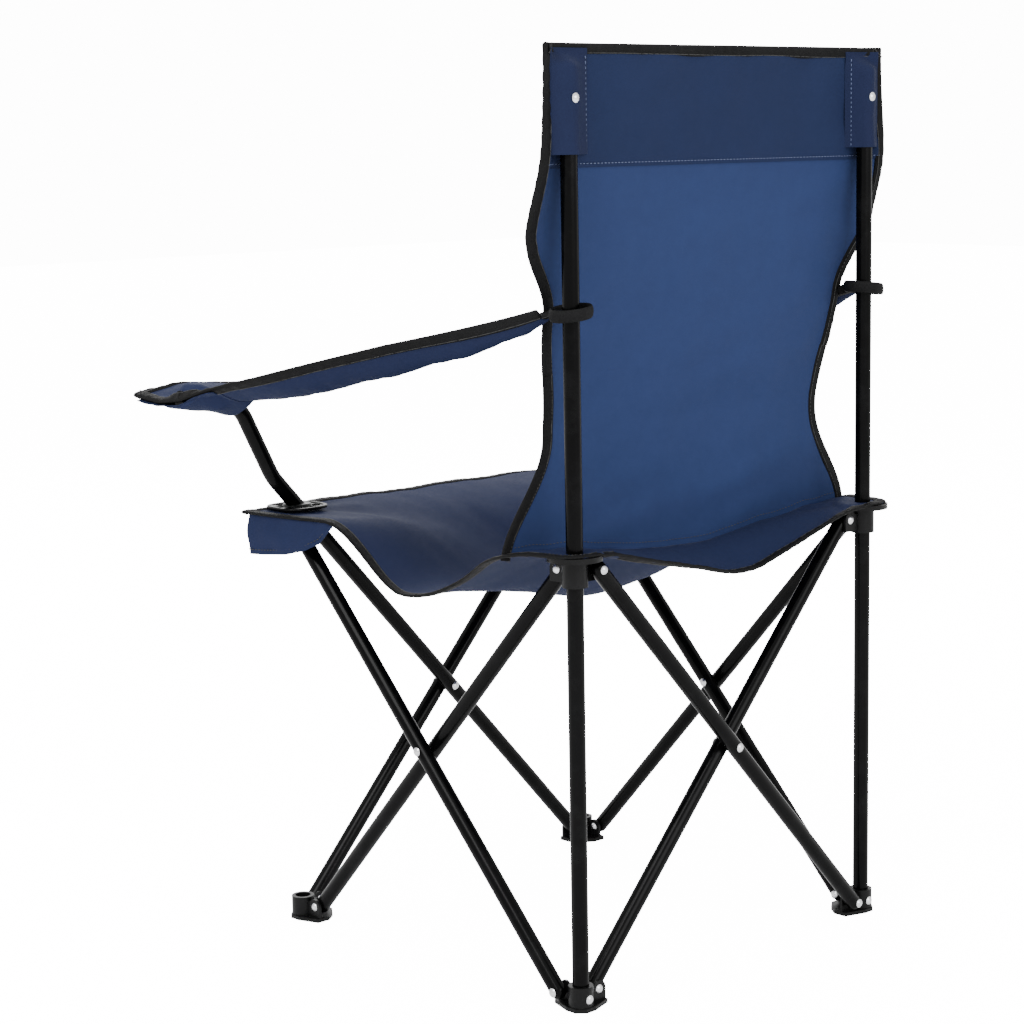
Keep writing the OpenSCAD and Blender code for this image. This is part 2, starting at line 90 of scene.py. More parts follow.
ARM_Z = 0.577           # height of the armrest at its post
ARM_SAG = 0.024         # how far the armrest's middle line hangs
ARM_TILT = 0.005        # how much higher its outer edge lies
ARM_REAR = 0.190        # Y of its rear end
ARM_MIDDLE = (0.222, 0.297)  # X of its middle line, rear and front
ARM_HALF = (0.014, 0.055)    # half its width, rear and front
ARM_FOLD_AXIS = (-0.2153, 0.8554, 0.4711)  # way in which the left armrest flattens
POST_END_SLOPE = math.radians(9)           # slope of the arm post's upper end

CLOTH = 0.0011          # thickness of the main cloth
THIN_CLOTH = 0.0010     # thickness of the added layers and pockets
TAPE_W = 0.0105         # how far the edge tape reaches in
TAPE_H = 0.0017         # the tape's height over the cloth's middle
TAPE_STEP = 0.004       # spacing of the points along a tape
PUCKER_PITCH = 0.0135   # distance between the sewing's puckers
STITCH_PITCH = 0.0045
STITCH_LENGTH = 0.0031
STITCH_RADIUS = 0.00042

FOLD_KEEP = 0.258       # share of its width that the cloth keeps when gathered
ARM_KEEP = 0.124        # the same for an armrest
POCKET_KEEP = 0.30      # the same for the pocket round a post's end

# Half the widths of seat and back, and the height of the seat's middle line: (place, value).
SEAT_HALF = ((-0.236, 0.252), (-0.020, 0.226), (0.060, 0.226), (SEAM_Y, 0.250),
             (ROUND_START, 0.238))
SEAT_MIDDLE = ((-0.230, SEAT_Z), (0.015, SEAT_Z - SEAT_SAG), (SEAM_Y, 0.413), (SEAT_REAR, 0.397))
BACK_HALF = ((0.424, 0.248), (0.540, 0.196), (0.655, 0.210), (0.735, 0.245), (0.900, 0.236))

# The sign of X on each side, and the front tube that becomes its arm post.
SIDES = {"left": 1, "right": -1}
ARM_TUBE = {"left": "a", "right": "b"}


# ---- camera at the photograph's angle ----

def add_camera():
    """Long lens from behind on the left, near the height of the back's top."""
    place = (1.8093, 1.8323 + SHIFT_Y, 0.8279)
    azimuth, elevation, roll = math.radians(135.36), math.radians(9.90), math.radians(-0.825)
    flat = math.cos(elevation)
    back = Vector((math.sin(azimuth) * flat, -math.cos(azimuth) * flat, math.sin(elevation)))
    right = Vector((math.cos(azimuth), math.sin(azimuth), 0))
    up = back.cross(right)
    x_axis = math.cos(roll) * right + math.sin(roll) * up
    y_axis = -math.sin(roll) * right + math.cos(roll) * up
    data = bpy.data.cameras.new("camera")
    data.lens = 88.24
    data.sensor_width = 36
    data.shift_x = -0.0633
    data.shift_y = 0.0501
    camera = bpy.data.objects.new("camera", data)
    turn = Matrix((x_axis, y_axis, back)).transposed()
    camera.matrix_world = Matrix.Translation(place) @ turn.to_4x4()
    bpy.context.scene.collection.objects.link(camera)
    bpy.context.scene.camera = camera


# ---- materials ----

BACKDROP_GLOW = 14.0  # brightness of floor and sky as the camera sees them


class Nodes:
    """A short way to write a material's node tree."""

    def __init__(self, name):
        self.material = bpy.data.materials.new(name)
        self.material.use_nodes = True
        self.tree = self.material.node_tree
        self.shader = self.tree.nodes["Principled BSDF"]

    def add(self, kind, **values):
        node = self.tree.nodes.new(kind)
        for key, value in values.items():
            if key.startswith("in_"):
                node.inputs[key[3:].replace("_", " ")].default_value = value
            else:
                setattr(node, key, value)
        return node

    def link(self, source, target):
        self.tree.links.new(source, target)

    def math(self, operation, a, b):
        node = self.add("ShaderNodeMath", operation=operation)
        for socket, value in zip(node.inputs, (a, b)):
            if isinstance(value, (int, float)):
                socket.default_value = value
            else:
                self.link(value, socket)
        return node.outputs[0]

    def noise(self, vector, scale, detail=3.0, rough=0.5):
        node = self.add("ShaderNodeTexNoise", in_Scale=scale, in_Detail=detail, in_Roughness=rough)
        self.link(vector, node.inputs["Vector"])
        return node.outputs["Fac"]

    def wave(self, vector, pitch, direction):
        scale = 2 * PI / (20 * pitch)
        node = self.add("ShaderNodeTexWave", in_Scale=scale, bands_direction=direction)
        self.link(vector, node.inputs["Vector"])
        return node.outputs["Fac"]

    def ramp(self, fac, low, high, color_low, color_high):
        node = self.add("ShaderNodeValToRGB")
        node.color_ramp.elements[0].position = low
        node.color_ramp.elements[1].position = high
        node.color_ramp.elements[0].color = (*color_low, 1)
        node.color_ramp.elements[1].color = (*color_high, 1)
        self.link(fac, node.inputs["Fac"])
        return node.outputs["Color"]

    def span(self, fac, low, high):
        node = self.add("ShaderNodeMapRange", in_To_Min=low, in_To_Max=high)
        self.link(fac, node.inputs["Value"])
        return node.outputs["Result"]

    def bump(self, height, strength, distance, below=None):
        node = self.add("ShaderNodeBump", in_Strength=strength, in_Distance=distance)
        self.link(height, node.inputs["Height"])
        if below is not None:
            self.link(below, node.inputs["Normal"])
        return node.outputs["Normal"]

    def uv(self):
        return self.add("ShaderNodeTexCoord").outputs["UV"]

    def place(self):
        return self.add("ShaderNodeTexCoord").outputs["Object"]


def cloth_material(name, color, shade):
    """Plain-weave polyester: crossed threads 1.1 mm apart, soft mottling, dull sheen."""
    n = Nodes(name)
    uv, place = n.uv(), n.place()
    warp = n.wave(uv, 0.0011, "X")
    weft = n.wave(uv, 0.0011, "Y")
    weave = n.math("ABSOLUTE", n.math("SUBTRACT", warp, weft), 0)
    fibre = n.noise(place, 900, 4)
    mottle = n.noise(place, 7, 5, 0.6)
    slub = n.noise(place, 60, 3, 0.6)
    tone = n.math("ADD", n.math("MULTIPLY", weave, 0.30), n.math("MULTIPLY", fibre, 0.25))
    tone = n.math("ADD", tone, n.math("MULTIPLY", mottle, 0.30))
    tone = n.math("ADD", tone, n.math("MULTIPLY", slub, 0.15))
    n.link(n.ramp(tone, 0.22, 0.72, shade, color), n.shader.inputs["Base Color"])
    n.link(n.span(mottle, 0.66, 0.84), n.shader.inputs["Roughness"])
    soft = n.bump(n.noise(place, 28, 3, 0.55), 0.22, 0.003)
    n.link(n.bump(weave, 0.35, 0.00025, soft), n.shader.inputs["Normal"])
    n.shader.inputs["Sheen Weight"].default_value = 0.01
    n.shader.inputs["Sheen Roughness"].default_value = 0.4
    n.shader.inputs["Sheen Tint"].default_value = (0.55, 0.65, 1.0, 1)
    n.shader.inputs["Specular IOR Level"].default_value = 0.06
    return n.material


def tape_material(name):
    """Ribbed binding tape with a worn crest."""
    n = Nodes(name)
    uv, place = n.uv(), n.place()
    ribs = n.wave(uv, 0.0008, "X")
    across = n.wave(uv, 0.0012, "Y")
    fibre = n.noise(place, 700, 4)
    wear = n.noise(place, 22, 6, 0.65)
    tone = n.math("ADD", n.math("MULTIPLY", fibre, 0.5), n.math("MULTIPLY", wear, 0.5))
    n.link(n.ramp(tone, 0.35, 0.75, (0.0022, 0.0022, 0.0024), (0.0085, 0.0085, 0.0090)),
           n.shader.inputs["Base Color"])
    n.link(n.span(wear, 0.55, 0.8), n.shader.inputs["Roughness"])
    low = n.bump(across, 0.25, 0.0002)
    n.link(n.bump(ribs, 0.5, 0.0003, low), n.shader.inputs["Normal"])
    n.shader.inputs["Specular IOR Level"].default_value = 0.08
    return n.material


def thread_material(name, color):
    """Twisted sewing thread."""
    n = Nodes(name)
    twist = n.noise(n.place(), 2200, 2)
    darker = tuple(c * 0.55 for c in color)
    n.link(n.ramp(twist, 0.3, 0.7, darker, color), n.shader.inputs["Base Color"])
    n.link(n.bump(twist, 0.4, 0.0002), n.shader.inputs["Normal"])
    n.link(n.span(twist, 0.5, 0.7), n.shader.inputs["Roughness"])
    return n.material


def coated_tube_material(name):
    """Gloss black powder coat: orange peel, faint rub marks and dust."""
    n = Nodes(name)
    place = n.place()
    peel = n.noise(place, 420, 2, 0.4)
    rub = n.noise(place, 35, 8, 0.7)
    n.link(n.ramp(rub, 0.50, 0.78, (0.0009, 0.0009, 0.0010), (0.0042, 0.0042, 0.0045)),
           n.shader.inputs["Base Color"])
    n.link(n.span(rub, 0.16, 0.30), n.shader.inputs["Roughness"])
    n.link(n.bump(peel, 0.03, 0.0004), n.shader.inputs["Normal"])
    n.shader.inputs["Specular IOR Level"].default_value = 0.055
    n.shader.inputs["Coat Weight"].default_value = 0.03
    n.shader.inputs["Coat Roughness"].default_value = 0.10
    return n.material


def plastic_material(name, color, rough_low, rough_high):
    """Moulded plastic with a fine spark texture and scuffs."""
    n = Nodes(name)
    place = n.place()
    grain = n.noise(place, 1500, 3, 0.6)
    scuff = n.noise(place, 55, 7, 0.7)
    lighter = tuple(c * 2.2 for c in color)
    n.link(n.ramp(scuff, 0.52, 0.80, color, lighter), n.shader.inputs["Base Color"])
    n.link(n.span(scuff, rough_low, rough_high), n.shader.inputs["Roughness"])
    n.link(n.bump(grain, 0.18, 0.0003), n.shader.inputs["Normal"])
    n.shader.inputs["Specular IOR Level"].default_value = 0.12
    return n.material


def steel_material(name):
    """Zinc-plated rivet: bright, with fine handling marks."""
    n = Nodes(name)
    place = n.place()
    marks = n.noise(place, 600, 5, 0.65)
    dull = n.noise(place, 140, 4, 0.6)
    n.link(n.ramp(dull, 0.3, 0.7, (0.60, 0.60, 0.62), (0.86, 0.86, 0.87)),
           n.shader.inputs["Base Color"])
    n.link(n.span(marks, 0.16, 0.42), n.shader.inputs["Roughness"])
    n.link(n.bump(marks, 0.15, 0.0002), n.shader.inputs["Normal"])
    n.shader.inputs["Metallic"].default_value = 1.0
    return n.material


def floor_material(name):
    """Pale paper, brighter to the camera than to the other rays."""
    n = Nodes(name)
    tone = n.noise(n.place(), 1.5, 4)
    n.link(n.ramp(tone, 0.2, 0.8, (0.93, 0.93, 0.93), (0.96, 0.96, 0.96)),
           n.shader.inputs["Base Color"])
    n.link(n.span(tone, 0.85, 0.95), n.shader.inputs["Roughness"])
    seen = n.add("ShaderNodeLightPath")
    glow = n.math("MULTIPLY", seen.outputs["Is Camera Ray"], BACKDROP_GLOW)
    n.link(glow, n.shader.inputs["Emission Strength"])
    n.shader.inputs["Emission Color"].default_value = (1.0, 1.0, 1.0, 1)
    return n.material


NAVY = cloth_material("navy_cloth", (0.0125, 0.0178, 0.0490), (0.0082, 0.0120, 0.0350))
# Lighter copy of the navy cloth for the single-layer back: painted light, for light that shines
# through the cloth.
NAVY_BACK_LIT = cloth_material("navy_cloth_back_painted_light", (0.0195, 0.0325, 0.0920), (0.0130, 0.0218, 0.0650))
NAVY_DOUBLE = cloth_material("navy_cloth_double",
                             (0.0115, 0.0180, 0.0500), (0.0075, 0.0120, 0.0350))
# Darker copy of the navy cloth for the sleeves on the uprights: painted shade.
NAVY_SLEEVE_SHADED = cloth_material("navy_cloth_sleeve_painted_shade",
                             (0.0100, 0.0140, 0.0385), (0.0066, 0.0095, 0.0275))
TAPE = tape_material("black_tape")
THREAD_DARK = thread_material("thread_dark", (0.016, 0.016, 0.015))
THREAD_BLUE = thread_material("thread_blue", (0.080, 0.105, 0.200))
TUBE_COAT = coated_tube_material("black_tube")
PLASTIC = plastic_material("black_plastic", (0.0030, 0.0030, 0.0032), 0.30, 0.46)
GLOSS_PLASTIC = plastic_material("gloss_plastic", (0.0030, 0.0030, 0.0032), 0.14, 0.26)
STEEL = steel_material("rivet_metal")
FLOOR = floor_material("floor_pale")


# ---- small maths ----

def ease(t):
    """Smooth step from 0 to 1."""
    return (1 - np.cos(PI * np.clip(t, 0, 1))) / 2


def mix(a, b, t):
    """Value between a, at t = 0, and b, at t = 1."""
    return a + (b - a) * t


def hump(t):
    """1 at 0, falling smoothly to 0 at -1 and 1."""
    return np.where(np.abs(t) < 1, np.cos(PI / 2 * np.clip(t, -1, 1)) ** 2, 0.0)


def eased(stations, at):
    """Value at a place among (place, value) stations, with a smooth step between neighbours."""
    value = stations[0][1]
    for (start, low), (end, high) in zip(stations, stations[1:]):
        value = np.where(at < start, value, mix(low, high, ease((at - start) / (end - start))))
    return value


def even(a, b, step):
    """Evenly spread values from a to b, about step apart."""
    return np.linspace(a, b, max(2, int(abs(b - a) / step) + 1))


def waves(x, y, length, seed, count=7):
    """Smooth repeatable ripple between about -1 and 1, with features about as long as length."""
    random = np.random.RandomState(seed)
    total = 0.0
    for _ in range(count):
        angle = random.uniform(0, 2 * PI)
        k = 2 * PI / (length * random.uniform(0.7, 1.6))
        phase = random.uniform(0, 2 * PI)
        total = total + np.sin(k * (x * math.cos(angle) + y * math.sin(angle)) + phase)
    return total / math.sqrt(count)


def points(x, y, z):
    """Array of points, with Y moved from the corners' middle to the object's frame."""
    x, y, z = np.broadcast_arrays(x, y, z)
    return np.stack([x, y + SHIFT_Y, z], axis=-1)


def unit(v):
    """Vectors made one unit long."""
    return v / np.maximum(np.linalg.norm(v, axis=-1, keepdims=True), 1e-12)


# ---- meshes ----

def new_mesh(name, verts, faces, uv, materials, material_index=None):
    """Smooth mesh object with one UV point for each vertex."""
    mesh = bpy.data.meshes.new(name)
    mesh.from_pydata(np.asarray(verts).tolist(), [], [list(map(int, f)) for f in faces])
    layer = mesh.uv_layers.new(name="UVMap")
    loops = np.zeros(len(mesh.loops), np.int32)
    mesh.loops.foreach_get("vertex_index", loops)
    layer.data.foreach_set("uv", np.asarray(uv, np.float32)[loops].ravel())
    for material in materials:
        mesh.materials.append(material)
    if material_index is not None:
        mesh.polygons.foreach_set("material_index", np.asarray(material_index, np.int32))
    mesh.polygons.foreach_set("use_smooth", np.ones(len(mesh.polygons), bool))
    mesh.update()
    obj = bpy.data.objects.new(name, mesh)
    bpy.context.scene.collection.objects.link(obj)
    return obj


def surface_normals(grid):
    """Unit normals over a grid of points."""
    along_u = np.gradient(grid, axis=0)
    along_v = np.gradient(grid, axis=1)
    return unit(np.cross(along_u, along_v))


def grid_uv(grid):
    """Distances in metres over a grid of points: u from its middle row, v from its first column."""
    step_u = np.linalg.norm(np.diff(grid, axis=0), axis=-1)
    step_v = np.linalg.norm(np.diff(grid, axis=1), axis=-1)
    u = np.concatenate([np.zeros((1, grid.shape[1])), np.cumsum(step_u, axis=0)])
    u = u - u[grid.shape[0] // 2]
    v = np.concatenate([[0.0], np.cumsum(step_v[grid.shape[0] // 2])])
    return np.stack([u, np.broadcast_to(v, u.shape)], axis=-1)


def grid_faces(nu, nv):
    """Quads of an nu by nv grid of points."""
    index = np.arange(nu * nv).reshape(nu, nv)
    corners = [index[:-1, :-1], index[1:, :-1], index[1:, 1:], index[:-1, 1:]]
    return np.stack(corners, axis=-1).reshape(-1, 4)


def sharpen(mesh, ring, count):
    """Marks both borders of a thin sheet as sharp, so that its rim doesn't shade into its faces."""
    order = np.full(2 * count, -10)
    order[ring] = np.arange(len(ring))
    order[ring + count] = np.arange(len(ring)) + 4 * len(ring)
    ends = np.zeros(2 * len(mesh.edges), np.int32)
    mesh.edges.foreach_get("vertices", ends)
    first, last = order[ends[::2]], order[ends[1::2]]
    step = np.abs(first - last)
    sharp = (first >= 0) & (last >= 0) & ((step == 1) | (step == len(ring) - 1))
    mesh.edges.foreach_set("use_edge_sharp", sharp)


def cloth(name, grid, material, thickness=CLOTH):
    """Closed thin sheet around a grid of middle points, with its flat size kept on the object."""
    nu, nv = grid.shape[:2]
    normal = surface_normals(grid)
    top = (grid + normal * thickness / 2).reshape(-1, 3)
    low = (grid - normal * thickness / 2).reshape(-1, 3)
    faces = grid_faces(nu, nv)
    count = nu * nv
    index = np.arange(count).reshape(nu, nv)
    ring = np.concatenate([index[:, 0], index[-1, 1:], index[-2::-1, -1], index[0, -2:0:-1]])
    after = np.roll(ring, -1)
    rim = np.stack([after, ring, ring + count, after + count], axis=-1)
    below = faces[:, ::-1] + count
    uv = grid_uv(grid).reshape(-1, 2)
    obj = new_mesh(name, np.concatenate([top, low]), np.concatenate([faces, below, rim]),
                   np.concatenate([uv, uv]), [material])
    sharpen(obj.data, ring, count)
    quad = np.cross(grid[1:, 1:] - grid[:-1, :-1], grid[1:, :-1] - grid[:-1, 1:])
    obj["flat_area"] = float(np.linalg.norm(quad, axis=-1).sum() / 2)
    span = uv.reshape(nu, nv, 2)
    obj["flat_u"] = float((span[-1, :, 0] - span[0, :, 0]).max())
    obj["flat_v"] = float(span[0, -1, 1])
    return obj


def resample(line, step):
    """The same line with points about step apart."""
    line = np.asarray(line)
    run = np.concatenate([[0.0], np.cumsum(np.linalg.norm(np.diff(line, axis=0), axis=1))])
    count = max(2, int(run[-1] / step) + 1)
    at = np.linspace(0, run[-1], count)
    return np.stack([np.interp(at, run, line[:, k]) for k in range(line.shape[1])], axis=-1)


def tangents(line):
    """Unit directions along a line of points."""
    return unit(np.gradient(line, axis=0))


def tube_faces(rings, sides):
    """Quads along a run of closed rings, and one face to close each end."""
    index = np.arange(rings * sides).reshape(rings, sides)
    nxt = np.roll(index, -1, axis=1)
    quads = np.stack([index[:-1], nxt[:-1], nxt[1:], index[1:]], axis=-1).reshape(-1, 4).tolist()
    return quads + [index[0][::-1].tolist(), index[-1].tolist()]


def stitch_mesh(line, normal):
    """Vertices, faces and UVs of a row of stitches on a line of points with these normals."""
    packed = resample(np.concatenate([line, normal], axis=1), STITCH_PITCH)
    centre, up = packed[:, :3], unit(packed[:, 3:])
    along = tangents(centre)
    side = unit(np.cross(along, up))
    rings, sides = 5, 6
    s = np.linspace(-1, 1, rings)
    width = np.sqrt(np.maximum(1 - s ** 4, 0.04))
    angle = np.arange(sides) / sides * 2 * PI
    verts = []
    for k in range(rings):
        sink = 0.9 * STITCH_RADIUS * s[k] ** 2
        middle = centre + along * (s[k] * STITCH_LENGTH / 2) - up * sink
        radius = STITCH_RADIUS * width[k]
        for a in angle:
            verts.append(middle + (side * math.cos(a) + up * math.sin(a)) * radius)
    verts = np.stack(verts, axis=1)
    one = tube_faces(rings, sides)
    faces = [[i + n * rings * sides for i in f] for n in range(len(centre)) for f in one]
    flat = verts.reshape(-1, 3)
    return flat, faces, flat[:, :2] * 0


def join_parts(name, parts):
    """One object from several (verts, faces, uv, material)."""
    verts, faces, uvs, index, materials, start = [], [], [], [], [], 0
    for part_verts, part_faces, part_uv, material in parts:
        if material not in materials:
            materials.append(material)
        verts.append(part_verts)
        uvs.append(part_uv)
        faces += [[i + start for i in f] for f in part_faces]
        index += [materials.index(material)] * len(part_faces)
        start += len(part_verts)
    return new_mesh(name, np.concatenate(verts), faces, np.concatenate(uvs), materials, index)


def binding(name, line, inward, seed, height=TAPE_H):
    """Tape folded over a cloth edge: line is the edge, inward points into the cloth along it."""
    packed = resample(np.concatenate([line, inward], axis=1), TAPE_STEP)
    edge, inn = packed[:, :3], packed[:, 3:]
    along = tangents(edge)
    inn = unit(inn - along * (inn * along).sum(-1, keepdims=True))
    up = unit(np.cross(along, inn))
    run = np.concatenate([[0.0], np.cumsum(np.linalg.norm(np.diff(edge, axis=0), axis=1))])
    pucker = 1 + 0.10 * np.sin(2 * PI * run / PUCKER_PITCH + waves(run, 0 * run, 0.08, seed))
    drift = 1 + 0.06 * waves(run, 0 * run, 0.12, seed + 1)
    skin = CLOTH / 2 + 0.0002
    # Share of the tape's width, height over the cloth's middle, and whether the sewing puckers it.
    profile = [(1.0, skin, False), (0.93, skin + 0.0006, False), (0.75, height, True),
               (0.45, height, True), (0.18, height, True), (0.03, height * 0.80, True),
               (-0.07, height * 0.38, False), (-0.10, 0, False)]
    loop = profile + [(a, -b, c) for a, b, c in profile[-2::-1]]
    verts, uv, across = [], [], 0.0
    for k, (a, b, puffed) in enumerate(loop):
        lift = np.broadcast_to(b * (pucker if puffed else 1), run.shape)
        verts.append(edge + inn * (a * TAPE_W * drift)[:, None] + up * lift[:, None])
        if k:
            across += math.hypot((a - loop[k - 1][0]) * TAPE_W, b - loop[k - 1][1])
        uv.append(np.stack([run, np.full_like(run, across)], axis=-1))
    verts = np.stack(verts, axis=1).reshape(-1, 3)
    uv = np.stack(uv, axis=1).reshape(-1, 2)
    parts = [(verts, tube_faces(len(edge), len(loop)), uv, TAPE)]
    for side in (1, -1):
        row = edge + inn * (0.78 * TAPE_W * drift)[:, None] + up * side * height * 0.95
        parts.append((*stitch_mesh(row, up * side), THREAD_DARK))
    return join_parts(name, parts)


def stitches(name, line, normal, material):
    """One row of stitches as an object of its own."""
    return join_parts(name, [(*stitch_mesh(np.asarray(line), np.asarray(normal)), material)])


def solid_of_turn(name, profile, centre, material, sides=72, corners=0.0):
    """Round part about Z through centre; profile is a closed loop of (radius, height).

    With corners above 0 the outer part of the profile becomes a rounded square."""
    angle = np.arange(sides) / sides * 2 * PI
    profile = np.asarray(profile)
    square = (np.abs(np.cos(angle)) ** 3 + np.abs(np.sin(angle)) ** 3) ** (-1 / 3)
    outer = np.clip((profile[:, 0] - 0.016) / 0.008, 0, 1)
    radius = profile[:, 0][None] * (1 + corners * (square[:, None] - 1) * outer[None])
    x = radius * np.cos(angle)[:, None]
    y = radius * np.sin(angle)[:, None]
    verts = np.stack([x + centre[0], y + centre[1], np.broadcast_to(profile[:, 1], x.shape)], -1)
    index = np.arange(sides * len(profile)).reshape(sides, len(profile))
    nxt = np.roll(index, -1, axis=0)
    faces = np.stack([index, nxt, np.roll(nxt, -1, axis=1), np.roll(index, -1, axis=1)], -1)
    faces, verts = faces.reshape(-1, 4), verts.reshape(-1, 3)
    return new_mesh(name, verts, faces, verts[:, :2], [material])


# ---- cloth surfaces ----

def seat_half(y):
    """Half the seat's width at y, round at the rear corners."""
    over = np.clip(y - ROUND_START, 0, CORNER_ROUND)
    return eased(SEAT_HALF, y) - (CORNER_ROUND - np.sqrt(CORNER_ROUND ** 2 - over ** 2))


def seat_side(y):
    """Height of the seat's side edges at y."""
    reach = np.where(y < SIDE_LOWEST_Y, 0.110, 0.200)
    return SEAT_Z - 0.0005 - SIDE_SAG * hump((y - SIDE_LOWEST_Y) / reach)


def seat_surface(u, y):
    """Point of the seat's middle surface: u from -1 to 1 across, y along."""
    u, y = np.broadcast_arrays(np.asarray(u, float), np.asarray(y, float))
    x = u * seat_half(y)
    blend = np.sin(PI / 2 * np.abs(u)) ** 1.6
    z = mix(eased(SEAT_MIDDLE, y), seat_side(y), blend)
    rim = 1 - np.abs(u) ** 6
    z = z + rim * 0.0012 * waves(x, y, 0.12, 5) + rim * 0.0003 * waves(x, y, 0.04, 6)
    # Pull creases that fan out from the four corners.
    for cx, cy in ((1, -1), (-1, -1), (1, 1), (-1, 1)):
        dx, dy = x - cx * 0.215, y - cy * 0.212
        far = np.hypot(dx, dy)
        spoke = np.sin(9 * np.arctan2(dy, dx) + 2 * cx + cy)
        z = z + rim * 0.0011 * spoke * hump((far - 0.070) / 0.075)
    # The cloth lies on the rings round the uprights.
    for cx in (-1, 1):
        near = np.hypot(x - cx * CORNER, y - CORNER)
        z = np.maximum(z, mix(z, RING_TOP + 0.0008, hump(near / 0.045) > 0.3))
    return points(x, y, z)


def back_depth(z):
    """Y of the back's edges at height z."""
    low = mix(SEAM_Y + 0.001, 0.157, (z - 0.420) / 0.130)
    middle = mix(0.157, 0.186, (z - 0.550) / 0.170)
    top = mix(0.186, 0.1975, ease((z - 0.720) / 0.100))
    return np.where(z < 0.550, low, np.where(z < 0.720, middle, top))


def back_surface(u, z):
    """Point of the back's middle surface: u from -1 to 1 across, z up."""
    u, z = np.broadcast_arrays(np.asarray(u, float), np.asarray(z, float))
    x = u * eased(BACK_HALF, z)
    rim = 1 - np.abs(u) ** 6
    y = back_depth(z) + 0.006 * (1 - u * u) * hump((z - 0.600) / 0.260)
    y = y + rim * 0.0016 * waves(x, z, 0.16, 15) + rim * 0.0005 * waves(x, z, 0.045, 16)
    # Pull creases at the waist, where the armrests draw the cloth in.
    for cx in (-1, 1):
        dx, dz = (x - cx * 0.205) * cx, z - 0.655
        spoke = np.sin(7 * np.arctan2(dz, dx) + cx)
        y = y + rim * 0.0014 * spoke * hump((np.hypot(dx, dz) - 0.055) / 0.060)
    # The upper edges curl back round the uprights.
    y = y + 0.0115 * ease((np.abs(x) - 0.2195) / 0.0165) * ease((z - 0.690) / 0.110)
    return points(x, y, z)


def seam_height(u):
    """Height of the seam across the seat, just over its cloth."""
    return seat_surface(u, SEAM_Y)[..., 2] + 0.0008


def arm_turn_down(u, v):
    """How far the armrest's outer edge turns down over the end of its post, and its front edge."""
    edge = np.interp(v, [0.35, 0.60, 0.69, 0.755, 0.795, 0.835, 0.91, 1],
                     [0, 0.005, 0.0065, 0.0095, 0.014, 0.018, 0.0195, 0.012])
    start = 0.78 * np.exp(-((v - 0.825) / 0.06) ** 4)
    share = np.clip((u - start) / (1 - start), 0, 1) ** 1.3
    return edge * share + 0.004 * np.clip((v - 0.88) / 0.12, 0, 1) ** 1.2


def arm_middle(v):
    """X of the left armrest's middle line."""
    return mix(*ARM_MIDDLE, ease(v * 1.15))


def arm_half(v):
    """Half the armrest's width."""
    return mix(*ARM_HALF, ease(v * 1.25))


def arm_surface(u, v):
    """Left armrest: u from -1 (inner) to 1 (outer), v from 0 at the ring to 1 at the front edge."""
    u, v = np.broadcast_arrays(np.asarray(u, float), np.asarray(v, float))
    x = arm_middle(v) + u * arm_half(v)
    y = mix(ARM_REAR, ARM_FRONT, v)
    t = v * 1.30
    fall = np.where(t < 0.8, t, np.where(t < 1.2, 1 - (1.2 - t) ** 2 / 0.8, 1))
    sag = np.interp(v, [0, 0.05, 0.15, 0.30, 0.62, 0.72, 0.80, 0.86, 1],
                    [0.40, 0.62, 0.85, 1, 1, 0.80, 0.34, 0.08, 0])
    z = mix(ARM_RING_LOW + 0.005, ARM_Z, fall)
    z = z + ARM_TILT * u * ease(v * 1.2) - ARM_SAG * (1 - u * u) * sag - arm_turn_down(u, v)
    rim = 1 - np.abs(u) ** 6
    z = z + rim * 0.0010 * waves(x, y, 0.06, 25) + rim * 0.0005 * waves(x, y, 0.02, 26)
    return points(x, y, z)


def mirrored(grid):
    """The same grid on the other side of the chair, its faces still turned the same way."""
    flipped = grid[::-1].copy()
    flipped[..., 0] *= -1
    return flipped


def edge_of(surface, us, vs, inner_us, inner_vs):
    """Points along an edge, and the directions from it into the cloth."""
    edge = surface(us, vs)
    return edge, unit(surface(inner_us, inner_vs) - edge)


def chain(*pieces):
    """Several (edge, inward) runs as one."""
    return np.concatenate([p[0] for p in pieces]), np.concatenate([p[1] for p in pieces])


def riding(obj, body, nodes=(), fold=None):
    """Puts the piece on its body and hides the nodes that it replaces; with fold given, it gets a
    mesh of its own.
    """
    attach(obj, body)
    if nodes:
        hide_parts(*nodes)
    if fold:
        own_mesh(obj)


# Sideways gathering towards the left upright for cloth between the uprights: riding takes it only
# as a sign to give the piece a mesh of its own.
ACROSS = ((1, 0, 0), (CORNER, 0, 0), FOLD_KEEP)


# ---- seat ----

